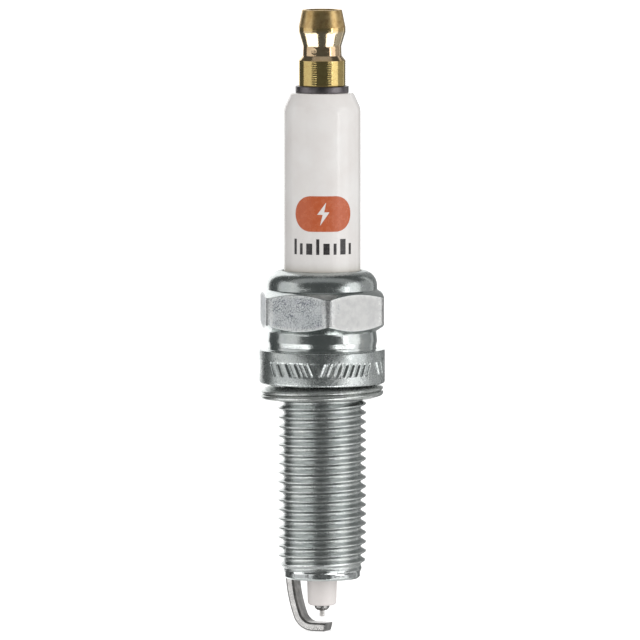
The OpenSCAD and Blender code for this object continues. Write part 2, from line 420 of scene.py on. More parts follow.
def shell_skin():
    skin = Skin()
    angles = shell_angles()

    # Crimp, from the lip's underside over the fold to the hexagon
    lip_r = CRIMP_R - CRIMP_FOLD_R
    crimp = [(lip_r, CRIMP_TOP - 1.1)]
    lip = [(lip_r, CRIMP_TOP - 0.8), (lip_r, CRIMP_TOP - 0.02, 0.14), (lip_r + 0.3, CRIMP_TOP)]
    crimp += rounded(lip, 3)[1:]
    crimp += arc((lip_r, CRIMP_TOP - CRIMP_FOLD_R), CRIMP_FOLD_R, 82, 0, 14)
    first, last = skin.lathe(angles, crimp)
    last, counts = add_hexagon(skin, angles, last)

    # Neck with its bulge, and the flange's top
    bulge, foot = NECK_R + 0.1, NECK_R - 0.05
    neck = rounded([
        (NECK_R, 6.9), (NECK_R, 6.8, 0.1), (bulge, 5.75, 0.4), (foot + 0.01, 5.0, 0.25),
        (foot, FLANGE_H, 0.1), (FLANGE_R, FLANGE_H, 0.22), (FLANGE_R, 3.4),
    ], 4)
    top, bottom = skin.lathe(angles, neck)
    skin.splice(top, last, counts, False)
    bottom = add_flange_band(skin, angles, bottom)

    # Flange's lower edge, the seat and the fillet into the relief
    relief_top = -0.3
    seat = rounded([
        (FLANGE_R, 1.1), (FLANGE_R, 0, 0.32), (RELIEF_R, 0, 0.15), (RELIEF_R, relief_top),
    ], 6)[1:-1]
    top, last = skin.lathe(angles, seat)
    skin.bridge(bottom, top)

    # Relief, thread and plain end follow one envelope
    pilot_low = SHELL_END + 0.45
    envelope = [
        (RELIEF_R, relief_top), (RELIEF_R, -1.3), (THREAD_R, -1.95), (THREAD_R, -23.5),
        (THREAD_R - 0.23, -24.4), (THREAD_R - 0.5, -25.0), (THREAD_R - 0.66, -25.35), (PILOT_R, PILOT_TOP),
        (PILOT_R, pilot_low),
    ]
    skin.finish = ROLLED
    profile = thread_profile(THREAD_R - THREAD_DEPTH, THREAD_R, THREAD_PITCH)
    top, bottom = add_thread(skin, angles, profile, THREAD_PITCH, THREAD_CREST_AT, envelope)
    skin.bridge(last, top)
    skin.finish = TURNED

    # Firing end and the bore, back up to the lip
    chamfer, ledge_r = 0.28, 2.95
    bore = rounded([
        (PILOT_R, pilot_low), (PILOT_R, SHELL_END + chamfer, 0.1), (PILOT_R - chamfer, SHELL_END, 0.08),
        (THROAT_R, SHELL_END, 0.12), (THROAT_R, -16.2), (ledge_r, -15.2), (ledge_r, -13.95),
        (THROAT_R, -13.2), (THROAT_R, 1.55), (SOCKET_R, 3.6), (SOCKET_R, CRIMP_TOP - 1.6),
    ], 4)
    top, last = skin.lathe(angles, bore)
    skin.bridge(bottom, top)
    skin.bridge(last, first)
    return skin


# ---- gasket

def gasket_skin():
    """One strip folded into two round lobes, dished and hanging a little aslant on the relief."""
    skin = Skin()
    lip_r, foot_r, inner_fold_r, slit_r = 5.75, 6.2, 6.3, 6.9
    top, low, out = GASKET_TOP, GASKET_LOW, GASKET_R - 0.02
    section = rounded([
        (lip_r, top - 0.2), (6.85, top - 0.02, 0.7), (out - 0.4, top - 0.42, 0.6), (out, top - 0.72, 0.22),
        (out - 0.25, top - 0.98, 0.18), (out - 0.9, top - 1.0, 0.03), (out - 0.3, top - 1.07, 0.3),
        (out, top - 1.34, 0.25), (out - 0.22, top - 1.68, 0.3), (7.1, low, 0.8), (foot_r, low, 0.08),
        (foot_r, low + 0.38, 0.1), (slit_r, low + 0.42, 0.03), (inner_fold_r, low + 0.5, 0.15),
        (inner_fold_r, top - 0.6, 0.15), (slit_r, top - 0.5, 0.03), (lip_r, top - 0.55, 0.1),
        (lip_r, top - 0.2),
    ], 6)[:-1]
    fixed_r = 5.7
    lobe_drop, low_side = 0.27, radians(176)

    def hung(r, z, a):
        """Where a point of the section comes to lie: waves, tilt and roundness grow towards the rim."""
        outer = (r - fixed_r) / (out - fixed_r)
        wave = 0.03 * sin(3 * a + 0.6) + 0.015 * sin(7 * a)
        out_of_round = 0.02 * sin(2 * a + 1.1) - 0.02
        return r + out_of_round * outer, z + (wave - lobe_drop * cos(a - low_side)) * outer

    angles = even_angles(160)
    rings = [skin.ring(angles, lambda a: hung(r, z, a)) for r, z in section]
    skin.stack(rings + rings[:1])
    return skin


# ---- terminal

def nut_outline():
    """The nut's outside from the bore's upper edge to its lower one, with turned grooves on the land."""
    base, bore = NUT_LOW, STUD_R + 0.08
    body = rounded([
        (bore + 0.28, base), (NUT_R, base, 0.1), (NUT_R, base + 3.45, 0.08),
        (NUT_WAIST_R + 0.05, base + 4.1, 0.12), (NUT_WAIST_R, base + 5.35, 0.5), (NUT_R, base + 7.25, 0.9),
        (NUT_R, base + 7.9, 0.25), (NUT_R - 0.5, NUT_TOP, 0.12), (bore + 0.22, NUT_TOP, 0.05),
        (bore, NUT_TOP - 0.24),
    ], 6)
    body.reverse()
    groove_depth, groove_pitch = 0.02, 0.3
    dense = []
    for (r0, z0), (r1, z1) in zip(body, body[1:]):
        on_waist = max(z0, z1) < base + 5.6 and min(z0, z1) > base + 3.9
        on_land = z0 - z1 > 3
        parts = 1
        if on_waist or on_land:
            parts = max(1, round((z0 - z1) / (0.08 if on_waist else 0.04)))
        for i in range(parts):
            r, z = r0 + (r1 - r0) * i / parts, z0 + (z1 - z0) * i / parts
            if on_land and i:
                r += groove_depth / 2 * (cos(2 * pi * z / groove_pitch) - 1)
            dense.append((r, z))
    dense.append(body[-1])
    return dense


def stamped(r, z, a):
    """A round stake mark on the nut's waist: a shallow dimple with a raised ring."""
    way, level, height = radians(-115), NUT_LOW + 4.75, 0.02
    away = (a - way + pi) % (2 * pi) - pi
    reach = hypot(away * NUT_WAIST_R, z - level)
    return r - height * exp(-((reach / 0.34) ** 4)) + height * exp(-(((reach - 0.48) / 0.09) ** 2))


def nut_bore(skin, angles):
    """The nut's tapped bore, from the bottom up: a right-hand groove cut outwards from the plain bore."""
    bore, groove, rows = STUD_R + 0.08, 0.28, 120
    low, high = NUT_LOW + 0.24, NUT_TOP - 0.24

    def at(a, z):
        turn = (z / M4_PITCH - a / (2 * pi)) % 1
        cut = groove * max(0, 1 - abs(turn - 0.5) * 2.6)
        return bore + cut * min(1, (z - low) / 0.4, (high - z) / 0.4), z

    return skin.stack([skin.ring(angles, lambda a: at(a, z)) for z in spread(low, high, rows)])


def nut_skin():
    skin = Skin()
    angles = even_angles(192)
    outside = [skin.ring(angles, lambda a: (stamped(r, z, a), z)) for r, z in nut_outline()]
    first, last = skin.stack(outside)
    bottom, top = nut_bore(skin, angles)
    skin.bridge(top, first)
    skin.bridge(last, bottom)
    return skin


def stud_skin():
    """The stud from its M4 end through the flange and the shank to the ribbed foot in the seal."""
    skin = Skin()
    angles = even_angles(96)
    end_r, groove_r = STUD_R - 0.4, STUD_R - 0.45
    end = rounded([(0, STUD_TOP), (STUD_R - 0.5, STUD_TOP), (end_r, STUD_TOP - 0.1)], 2)
    first, last = skin.lathe(angles, end)
    envelope = [
        (end_r, STUD_TOP - 0.1), (STUD_R, STUD_TOP - 0.5), (STUD_R, NUT_LOW + 0.9),
        (groove_r, NUT_LOW + 0.5), (groove_r, NUT_LOW + 0.15),
    ]
    profile = thread_profile(STUD_R - 0.42, STUD_R, M4_PITCH)
    top, bottom = add_thread(skin, angles, profile, M4_PITCH, M4_CREST_AT, envelope)
    skin.bridge(last, top)
    foot_r, rib_r, shank_r, rib_pitch = 1.5, 1.65, BORE_R - 0.1, 0.8
    low = [
        (groove_r, NUT_LOW + 0.15), (groove_r, NUT_LOW, 0.1), (STUD_FLANGE_R, NUT_LOW, 0.1),
        (STUD_FLANGE_R, BARREL_TOP, 0.1), (shank_r, BARREL_TOP), (shank_r, 8.2), (foot_r, 7.6),
    ]
    for i in reversed(range(4)):
        z = STUD_LOW + 0.4 + rib_pitch * i
        low += [(foot_r, z + 0.65), (rib_r, z + 0.45), (rib_r, z + 0.2), (foot_r, z)]
    low += [(foot_r, STUD_LOW + 0.3), (foot_r - 0.3, STUD_LOW), (0, STUD_LOW)]
    top, last = skin.lathe(angles, rounded(low, 4))
    skin.bridge(bottom, top)
    return skin


# ---- insulator and its print

def insulator_skin():
    skin = Skin()
    nose_r, nose_bore = 1.93, 1.1
    shoulder_r, stem_r = 5.6, 3.6
    shoulder_top, shoulder_low = 9.9, 3.9
    outline = rounded([
        (BORE_R, BARREL_TOP), (4.22, BARREL_TOP, 0.4), (BARREL_R, BARREL_TOP - 2.1, 2.6),
        (BARREL_R, shoulder_top + 0.12), (BARREL_R + 0.05, shoulder_top), (shoulder_r, shoulder_top, 0.08),
        (shoulder_r, shoulder_low), (stem_r, 1.9), (stem_r, -12.95), (2.7, -13.85),
        (nose_r + 0.12, SHELL_END + 0.5), (nose_r, NOSE_END, 0.5), (nose_bore, NOSE_END, 0.06),
        (nose_bore, -12.9), (BORE_R, -12.2),
    ], 8)
    first, last = skin.lathe(even_angles(192), outline)
    skin.bridge(last, first)
    return skin


def print_shapes():
    """The print's flat shapes, as (rim, hole, ink) with points of (way round, height).

    A bolt is left clear in a badge with round ends, over a row of plain bars.
    """
    badge_z, badge_r, straight = 23.2, 2.4, 1.7
    bolt = [(0.4, 1.6), (-0.84, -0.1), (-0.1, -0.1), (-0.45, -1.6), (0.84, 0.24), (0.12, 0.24)]
    rim = arc((straight, 0), badge_r, -90, 90, 24) + arc((-straight, 0), badge_r, 90, 270, 24)
    shapes = [([(x, badge_z + z) for x, z in rim], [(x, badge_z + z) for x, z in bolt], 0)]
    low = 17.7
    tall, short = low + 2.1, low + 1.5
    thin, thick, gap = 0.42, 0.85, 0.55
    x = -4.3
    for width, high in ((thin, tall), (thin, short), (thick, short), (thin, tall), (thick, short),
                        (thin, short), (thick, tall), (thin, short)):
        shapes.append(([(x, low), (x + width, low), (x + width, high), (x, high)], None, 1))
        x += width + gap
    return shapes


def flat_print():
    """The print as one flat mesh, cut into narrow columns so that it can be bent round the barrel."""
    flat = bmesh.new()
    for rim, hole, ink in print_shapes():
        edges = []
        for loop in (rim, hole) if hole else (rim,):
            points = [flat.verts.new((x, z, 0)) for x, z in loop]
            edges += [flat.edges.new((points[i - 1], points[i])) for i in range(len(points))]
        for piece in bmesh.ops.triangle_fill(flat, edges=edges, use_beauty=True)["geom"]:
            if isinstance(piece, bmesh.types.BMFace):
                piece.material_index = ink
    column, half_count = 0.2, 24
    for i in range(-half_count, half_count + 1):
        everything = flat.verts[:] + flat.edges[:] + flat.faces[:]
        bmesh.ops.bisect_plane(flat, geom=everything, plane_co=(i * column, 0, 0), plane_no=(1, 0, 0))
    for face in flat.faces:
        face.normal_update()
        if face.normal.z < 0:
            face.normal_flip()
    return flat


def add_print(inks):
    """Thin ink on the glaze, bent round the barrel."""
    ink_out, ink_in = 0.014, -0.01
    turn = -pi / 2 + radians(1.9)
    flat = flat_print()
    skin = Skin()
    number = {}
    for layer, out in enumerate((ink_out, ink_in)):
        for v in flat.verts:
            a = turn + v.co.x / BARREL_R
            r = BARREL_R + out
            number[v, layer] = len(skin.points)
            skin.points.append((r * cos(a), r * sin(a), v.co.y))
    for face in flat.faces:
        skin.finish = face.material_index
        skin.face(*[number[v, 0] for v in face.verts])
        skin.face(*[number[v, 1] for v in reversed(face.verts)])
    for edge in flat.edges:
        if len(edge.link_faces) == 1:
            a, b = edge.verts
            skin.finish = edge.link_faces[0].material_index
            skin.face(number[a, 0], number[a, 1], number[b, 1], number[b, 0])
    flat.free()
    return add_piece("barrel_print", skin, inks, "plug", "glazed_alumina", weld=False)


# ---- electrodes

def centre_electrode_skin():
    """Wire with a weld of small beads round the tip."""
    skin = Skin()
    wire_r, head_r = 1.05, 1.65
    head_low, wire_top = -12.447, -12.941
    cone_z = NOSE_END - 0.05
    weld_z = cone_z - 0.48
    beads, bead_out, bead_down = 11, 0.09, 0.05
    outline = rounded([
        (CORE_R, HEAD_TOP), (head_r, HEAD_TOP, 0.1), (head_r, head_low), (wire_r, wire_top),
        (wire_r, cone_z + 0.3, 0.1), (wire_r - 0.05, cone_z - 0.26, 0.06), (0.87, cone_z - 0.4, 0.06),
        (0.66, cone_z - 0.6, 0.06), (TIP_R + 0.04, cone_z - 0.64, 0.03), (TIP_R, TIP_ROOT - 0.45),
        (TIP_R, TIP_ROOT), (0, TIP_ROOT),
    ], 4)

    def beaded(r, z, a):
        weld = max(0, 1 - abs(z - weld_z) / 0.24) if r > TIP_R + 0.05 else 0
        bead = weld * (abs(sin(beads * a / 2 + 0.4)) - 0.5)
        return r + bead_out * bead, z - bead_down * bead

    angles = even_angles(132)
    previous = None
    for r, z in outline:
        here = skin.ring(angles, lambda a: beaded(r, z, a)) if r > 0 else skin.lathe(angles, [(0, z)])[0]
        if previous:
            skin.join(previous, here)
        previous = here
    skin.lathe(angles, [(0, CORE_END), (CORE_R, CORE_END), (CORE_R, HEAD_TOP)])
    return skin


def tip_skin():
    skin = Skin()
    outline = [(0, TIP_ROOT), (TIP_R, TIP_ROOT), (TIP_R, TIP_END, 0.04), (0, TIP_END)]
    skin.lathe(even_angles(48), rounded(outline, 3))
    return skin


def strap_path():
    """Centre line of the ground electrode, as (radius, height) points in its own upright plane."""
    root_r, knee_r, past_axis = 4.33, 2.3, 1.06
    lean, bend = STRAP_ROOT_LEAN, STRAP_KNEE_LEAN
    floor_z = STRAP_LOW + STRAP_T / 2
    leg_drop = STRAP_TOP - floor_z - knee_r * (1 - sin(bend))
    leg_r = leg_drop / (sin(bend) - sin(lean))
    leg = (root_r - leg_r * cos(lean), STRAP_TOP + leg_r * sin(lean))
    knee = (leg[0] + (leg_r - knee_r) * cos(bend), leg[1] - (leg_r - knee_r) * sin(bend))
    points = arc(leg, leg_r, -degrees(lean), -degrees(bend), 14)[:-1]
    points += arc(knee, knee_r, -degrees(bend), -90, 20)
    return points + [(r, floor_z) for r in spread(points[-1][0], -past_axis, 6)[1:]]


def strap_section(grow):
    """Rounded rectangle across the strap, as (through thickness, across width) points."""
    half_t, half_w, corner = STRAP_T / 2 + grow, STRAP_W / 2 + grow, 0.25
    points = []
    for sign_t, sign_w, start in ((1, 1, 0), (-1, 1, 90), (-1, -1, 180), (1, -1, 270)):
        centre = (sign_t * (half_t - corner), sign_w * (half_w - corner))
        points += arc(centre, corner, start, start + 90, 5)
    return points


def strap_stations():
    """Places along the strap, as (place, way ahead, growth of the section, lean of the section)."""
    path = [Vector(point) for point in strap_path()]
    stations = []
    for i, here in enumerate(path):
        if i:
            way = (path[min(i + 1, len(path) - 1)] - path[i - 1]).normalized()
        else:
            way = Vector((-sin(STRAP_ROOT_LEAN), -1)).normalized()
        stations.append((here, way, 0.0, 0.0))
    end, way = stations.pop()[:2]
    end_lean = 0.3
    for back, grow in ((0.08, 0.0), (0.03, -0.02), (0.0, -0.07)):
        stations.append((end - way * back, way, grow, end_lean))
    return stations


# Finishes of the strap, in the order of its materials; the edge finish is a dark copy of the alloy, painted
# shade on the rounded corners
BRIGHT, CUT, DULL, SHADED_EDGE = range(4)


def strap_skin():
    skin = Skin()
    turn = pi - STRAP_TURN
    rings = []
    for at, way, grow, lean in strap_stations():
        ring = []
        out = Vector((-way.y, way.x))
        for through, across in strap_section(grow):
            r, z = at + out * through - way * lean * (0.5 + through / STRAP_T)
            if not rings:
                z = STRAP_TOP
            x = r * cos(turn) + across * sin(turn)
            y = r * sin(turn) - across * cos(turn)
            ring.append(len(skin.points))
            skin.points.append((x, y, z))
        rings.append(ring)
    # Each rounded corner gets the dark edge finish, which is painted shade
    sides = {0: BRIGHT, 6: BRIGHT, 12: DULL, 18: BRIGHT}    # the section's flat sides, between its corners
    for upper, lower in zip(rings, rings[1:]):
        for j in range(len(upper)):
            skin.finish = sides.get(j, SHADED_EDGE)
            skin.face(upper[j - 1], lower[j - 1], lower[j], upper[j])
    skin.face(*reversed(rings[0]))
    skin.finish = CUT
    skin.face(*rings[-1])
    return skin


# ---- materials

class Nodes:
    """Short ways to add nodes to a tree. A value may be a number, a colour or another node's output."""

    def __init__(self, tree):
        self.tree = tree

    def node(self, kind, *values, **settings):
        """Adds a node, and puts the values into its first inputs."""
        made = self.tree.nodes.new("ShaderNode" + kind)
        for key, value in settings.items():
            setattr(made, key, value)
        for socket, value in zip(made.inputs, values):
            self.put(socket, value)
        return made

    def put(self, socket, value):
        if isinstance(value, bpy.types.NodeSocket):
            self.tree.links.new(value, socket)
        else:
            socket.default_value = value

    def math(self, operation, *values, clamp=False):
        return self.node("Math", *values, operation=operation, use_clamp=clamp).outputs[0]

    def times(self, a, b, clamp=False):
        return self.math("MULTIPLY", a, b, clamp=clamp)

    def minus(self, a, b, clamp=False):
        return self.math("SUBTRACT", a, b, clamp=clamp)

    def larger(self, a, b):
        return self.math("MAXIMUM", a, b)

    def scaled(self, value, factor, added):
        """The value times the factor, plus what is added."""
        return self.math("MULTIPLY_ADD", value, factor, added)

    def remap(self, value, low, high, to_low=0.0, to_high=1.0):
        return self.node("MapRange", value, low, high, to_low, to_high).outputs[0]

    def band(self, value, start, full, fading, end):
        """1 between full and fading, and 0 before the start and after the end."""
        return self.times(self.remap(value, start, full), self.remap(value, end, fading))

    def split(self, vector):
        return self.node("SeparateXYZ", vector).outputs

    def join(self, x, y, z):
        return self.node("CombineXYZ", x, y, z).outputs[0]

    def mix(self, share, a, b):
        made = self.node("Mix", data_type="RGBA")
        self.put(made.inputs["Factor"], share)
        self.put(made.inputs["A"], (*a, 1) if isinstance(a, tuple) else a)
        self.put(made.inputs["B"], (*b, 1) if isinstance(b, tuple) else b)
        return made.outputs["Result"]


class Shader(Nodes):
    """A Principled material. Its patterns take places in millimetres in the part's frame."""

    def __init__(self, name, **settings):
        self.material = bpy.data.materials.new(name)
        self.material.use_nodes = True
        super().__init__(self.material.node_tree)
        self.shader = self.tree.nodes["Principled BSDF"]
        for socket, value in settings.items():
            self.shader.inputs[socket.replace("_", " ").title().replace("Ior", "IOR")].default_value = value
        to_mm = self.node("VectorMath", self.node("TexCoord").outputs["Object"], operation="SCALE")
        self.put(to_mm.inputs["Scale"], 1 / MM)
        self.place = to_mm.outputs["Vector"]

    def from_axis(self):
        """Distance from the Z axis."""
        x, y, _ = self.split(self.place)
        return self.node("VectorMath", self.join(x, y, 0.0), operation="LENGTH").outputs["Value"]

    def turned(self, stretch):
        """A place that varies along the axis and the radius, and only slowly round, for lathe marks."""
        x, y, z = self.split(self.place)
        return self.join(self.times(x, stretch), self.from_axis(), self.scaled(y, stretch, z))

    def noise(self, scale, detail=3.0, roughness=0.55, vector=None):
        made = self.node("TexNoise", vector or self.place)
        self.put(made.inputs["Scale"], scale)
        self.put(made.inputs["Detail"], detail)
        self.put(made.inputs["Roughness"], roughness)
        return made.outputs["Fac"]

    def bump(self, height, strength, distance, under=None):
        """Relief whose distance is in millimetres, on top of the relief under it."""
        made = self.node("Bump")
        self.put(made.inputs["Height"], height)
        self.put(made.inputs["Strength"], strength)
        self.put(made.inputs["Distance"], distance * MM)
        if under is not None:
            self.put(made.inputs["Normal"], under)
        return made.outputs[0]

    def finish(self, colour, roughness, normal=None):
        self.put(self.shader.inputs["Base Color"], colour)
        self.put(self.shader.inputs["Roughness"], roughness)
        if normal is not None:
            self.put(self.shader.inputs["Normal"], normal)
        return self.material


def metal(name):
    return Shader(name, metallic=1.0)


def brass_material():
    """Turned brass: bright on the lands and the waist, browner and duller on the cone, with a painted
    highlight on the curve.
    """
    m = metal("turned_brass")
    _, _, z = m.split(m.place)
    base = NUT_LOW
    land = m.remap(z, base + 3.5, base + 3.3)
    waist = m.band(z, base + 3.3, base + 3.8, base + 5.4, base + 5.7)
    painted_glare_curve = m.band(z, base + 5.3, base + 5.6, base + 7.2, base + 7.6)
    cone = m.remap(z, base + 7.85, base + 7.95)
    marks = m.noise(5.0, 2, 0.6, m.turned(0.02))
    stain = m.remap(m.noise(1.6, 4, 0.6), 0.42, 0.66)
    colour = m.mix(m.remap(m.noise(0.5, 3), 0.35, 0.65), (0.79, 0.56, 0.24), (0.86, 0.63, 0.31))
    colour = m.mix(m.times(waist, 0.7), colour, (0.82, 0.62, 0.44))
    # Painted highlight: paler, whiter brass on the curve stands in for the white glare the curve shows
    colour = m.mix(m.times(painted_glare_curve, 0.8), colour, (0.90, 0.77, 0.56))
    colour = m.mix(land, colour, (0.74, 0.57, 0.23))
    dull = m.larger(m.times(stain, 0.25), m.times(m.scaled(stain, 0.5, 0.05), cone))
    colour = m.mix(dull, colour, (0.43, 0.22, 0.07))
    rough = m.scaled(cone, 0.2, m.remap(marks, 0.3, 0.7, 0.09, 0.17))
    scratches = m.bump(marks, 0.3, 0.015)
    return m.finish(colour, rough, m.bump(m.noise(6.0, 3), 0.12, 0.02, scratches))


def stud_material():
    m = metal("heat_tinted_steel")
    marks = m.noise(7.0, 2, 0.6, m.turned(0.05))
    cloud = m.noise(0.9, 4)
    colour = m.mix(m.remap(cloud, 0.35, 0.65), (0.16, 0.145, 0.155), (0.27, 0.25, 0.26))
    return m.finish(colour, m.remap(cloud, 0.3, 0.7, 0.3, 0.45), m.bump(marks, 0.3, 0.02))


def insulator_material():
    """White glaze above, darker and yellower towards the crimp as painted shade where it meets the shell, and
    bare matte alumina on the nose.
    """
    m = Shader("glazed_alumina", specular_ior_level=0.5)
    _, _, z = m.split(m.place)
    bare = m.remap(z, -12.0, -14.0)
    foot = m.remap(z, CRIMP_TOP + 1.5, CRIMP_TOP)
    cloud = m.noise(0.22, 3)
    speck = m.remap(m.noise(7.0, 3, 0.7), 0.70, 0.78)
    glaze = m.mix(m.remap(cloud, 0.35, 0.65), (0.76, 0.735, 0.715), (0.81, 0.80, 0.785))
    glaze = m.mix(m.times(speck, 0.12), glaze, (0.45, 0.42, 0.38))
    # Painted shade: the glaze darkens and yellows over the last 1.5 mm above the crimp, where it meets the
    # shell's lip
    glaze = m.mix(m.times(m.times(foot, foot), 0.5), glaze, (0.50, 0.46, 0.36))
    body = m.mix(m.noise(2.5, 4), (0.78, 0.74, 0.72), (0.83, 0.79, 0.77))
    rough = m.scaled(bare, 0.4, m.remap(cloud, 0.3, 0.7, 0.1, 0.17))
    grain = m.times(m.noise(16.0, 3), bare)
    waves = m.bump(m.noise(0.9, 2), 0.04, 0.1)
    return m.finish(m.mix(bare, glaze, body), rough, m.bump(grain, 0.3, 0.02, waves))


def ink_material(name, dark, light):
    m = Shader(name, specular_ior_level=0.5)
    wear = m.remap(m.noise(1.5, 3, 0.6), 0.35, 0.75)
    colour, rough = m.mix(wear, dark, light), m.remap(wear, 0, 1, 0.2, 0.35)
    return m.finish(colour, rough, m.bump(m.noise(12.0), 0.05, 0.004))


def zinc_base(m, film):
    """Colour of bluish zinc plate, with faint violet patches of the passivation film."""
    colour = m.mix(m.remap(m.noise(0.35, 3), 0.35, 0.65), (0.54, 0.575, 0.565), (0.65, 0.675, 0.66))
    patches = m.remap(m.noise(1.1, 3, 0.5), 0.5, 0.72)
    return m.mix(m.times(patches, film), colour, (0.56, 0.55, 0.63))


def zinc_turned_material():
    """Wavy and grainy on the crimp, smoother on the neck, duller and mottled on the flange."""
    m = metal("zinc_plate_turned")
    _, _, z = m.split(m.place)
    flange = m.band(z, -0.4, 0.2, FLANGE_H - 0.1, FLANGE_H + 0.1)
    crimp = m.remap(z, HEX_HIGH - 0.4, HEX_HIGH + 0.3)
    near_bore = m.remap(m.from_axis(), CRIMP_R - 0.75, CRIMP_R - 1.5)
    lip = m.times(near_bore, m.remap(z, CRIMP_TOP - 1, CRIMP_TOP - 0.6))

    # Pits all over, and dark blots and pale glints in patches of the flange
    pits = m.remap(m.noise(5.0, 4, 0.7), 0.56, 0.70)
    pitted = m.scaled(lip, 0.5, m.scaled(flange, 0.35, 0.25))
    colour = m.mix(m.times(pits, pitted), zinc_base(m, 0.2), (0.22, 0.24, 0.25))
    rolled = m.times(m.remap(m.noise(0.4, 2), 0.42, 0.56, 0.15, 1.0), flange)
    mottle = m.noise(2.6, 4, 0.7)
    blots = m.times(m.remap(mottle, 0.5, 0.62), rolled)
    colour = m.mix(m.times(blots, 0.45), colour, (0.24, 0.26, 0.27))
    glints = m.times(m.remap(m.noise(3.4, 4, 0.7), 0.56, 0.66), rolled)
    colour = m.mix(m.times(glints, 0.6), colour, (0.86, 0.87, 0.86))

    rough = m.remap(m.noise(2.4, 4, 0.6), 0.3, 0.75, 0.14, 0.26)
    rough = m.scaled(lip, 0.15, m.scaled(flange, 0.09, m.scaled(crimp, 0.04, rough)))
    waves = m.bump(m.noise(0.9, 3, 0.5), m.scaled(crimp, 0.1, 0.12), 0.12)
    dents = m.bump(mottle, m.times(rolled, 0.8), 0.08, waves)
    grain = m.bump(m.noise(5.5, 4, 0.65), m.scaled(lip, 0.5, 0.16), 0.03, dents)
    marks = m.noise(6.0, 3, 0.6, m.turned(0.04))
    return m.finish(colour, rough, m.bump(marks, 0.14, 0.02, grain))


def zinc_flat_material():
    """The hexagon's flats: granular with a burnished rim towards -X, paler and smoother towards +X, with
    painted shade along the rounded corners.
    """
    m = Shader("zinc_plate_granular", metallic=0.8)
    x, _, z = m.split(m.place)
    r = m.from_axis()

    # Burnished border along the chamfers' arcs and the corners
    rise = m.times(m.minus(r, HEX_FLAT_R), 0.55)
    above = m.remap(m.math("ADD", z, rise), HEX_HIGH - 0.85, HEX_HIGH - 0.5)
    below = m.remap(m.minus(z, rise), HEX_LOW + 0.95, HEX_LOW + 0.6)
    border = m.larger(m.larger(above, below), m.remap(r, 8.72, 8.86))
    border = m.times(border, m.remap(m.noise(4.5, 3), 0.4, 0.55, 0.1, 1.0))

    grain = m.noise(6.0, 4, 0.7)
    patches = m.remap(m.noise(0.45, 2), 0.35, 0.6, 0.3, 1.0)
    dark = m.times(m.remap(m.noise(6.5, 3, 0.7), 0.47, 0.57), patches)
    granular = m.mix(dark, m.mix(0.35, zinc_base(m, 0.4), (0.78, 0.80, 0.84)), (0.11, 0.125, 0.155))
    granular = m.mix(m.times(border, 0.8), granular, (0.80, 0.81, 0.80))
    pale = m.mix(m.remap(m.noise(1.1, 4, 0.6), 0.4, 0.65), (0.61, 0.61, 0.60), (0.53, 0.53, 0.53))
    pale = m.mix(m.times(border, m.remap(m.noise(5.0, 3), 0.5, 0.6)), pale, (0.70, 0.70, 0.69))
    granular_side = m.remap(m.scaled(m.noise(0.5, 3), 6.0, x), 5.0, 3.0)
    colour = m.mix(granular_side, pale, granular)
    # Painted shade: dark patchy colour along the ridges of the hexagon's rounded corners
    corner = m.times(m.remap(r, 8.985, 9.02), m.remap(m.noise(5.0, 3, 0.7), 0.60, 0.46, 0.0, 0.6))
    colour = m.mix(corner, colour, (0.20, 0.21, 0.215))

    rough = m.scaled(border, -0.15, m.remap(grain, 0.3, 0.7, 0.36, 0.55))
    relief = m.times(grain, m.remap(granular_side, 0.0, 1.0, 0.35, 1.0))
    return m.finish(colour, rough, m.bump(relief, 0.6, 0.05))


def zinc_thread_material():
    """Rolled thread: bright along crest and root, stained at its end; the flanks are smoother and carry
    painted shade, strongest on the upper flank.
    """
    m = Shader("zinc_plate_rolled", metallic=0.9)
    x, y, z = m.split(m.place)
    way = m.math("ARCTAN2", y, x)
    rise = m.scaled(way, -THREAD_PITCH / (2 * pi), z)
    phase = m.math("FRACT", m.math("DIVIDE", m.minus(rise, THREAD_CREST_AT), THREAD_PITCH))

    # The phase is 0 at a crest, about 0.23 on the flank above it and 0.78 on the next crest's lower flank
    upper = m.minus(1.0, m.math("ABSOLUTE", m.scaled(phase, 5.5, -1.25)), clamp=True)
    lower = m.minus(1.0, m.math("ABSOLUTE", m.scaled(phase, 6.0, -4.7)), clamp=True)
    streaks = m.noise(1.0, 3, 0.6, m.join(m.times(way, 2.5), m.times(rise, 7.0), 0.0))
    # Painted shade on the flanks, strongest on the upper flank; the same mask also makes them smoother and
    # less grainy
    flank_shade_and_finish = m.scaled(lower, 0.5, m.times(upper, 1.6, clamp=True))
    flank_shade_and_finish = m.times(flank_shade_and_finish, m.remap(streaks, 0.3, 0.6, 0.7, 1.0))
    pilot = m.remap(z, PILOT_TOP + 0.5, PILOT_TOP)

    # Painted shade: darker colour on the flanks
    colour = m.mix(flank_shade_and_finish, zinc_base(m, 0.24), (0.36, 0.38, 0.376))
    specks = m.remap(m.noise(5.0, 4, 0.7), 0.50, 0.64)
    colour = m.mix(m.times(specks, m.remap(flank_shade_and_finish, 0, 0.6, 0.55, 0.1)), colour, (0.84, 0.84, 0.82))
    stains = m.remap(m.noise(2.2, 4, 0.65), 0.52, 0.66)
    colour = m.mix(pilot, colour, m.mix(stains, (0.58, 0.60, 0.60), (0.24, 0.25, 0.25)))

    rough = m.remap(streaks, 0.3, 0.7, 0.19, 0.33)
    rough = m.scaled(pilot, -0.12, m.scaled(flank_shade_and_finish, -0.15, rough))
    depth = m.times(m.remap(flank_shade_and_finish, 0, 0.6, 0.8, 0.3), m.remap(pilot, 0.0, 1.0, 1.0, 0.35))
    grain = m.bump(m.noise(4.5, 4, 0.7), depth, 0.04, m.bump(streaks, 0.35, 0.03))
    return m.finish(colour, rough, m.bump(m.noise(2.2, 3, 0.5), 0.15, 0.06, grain))


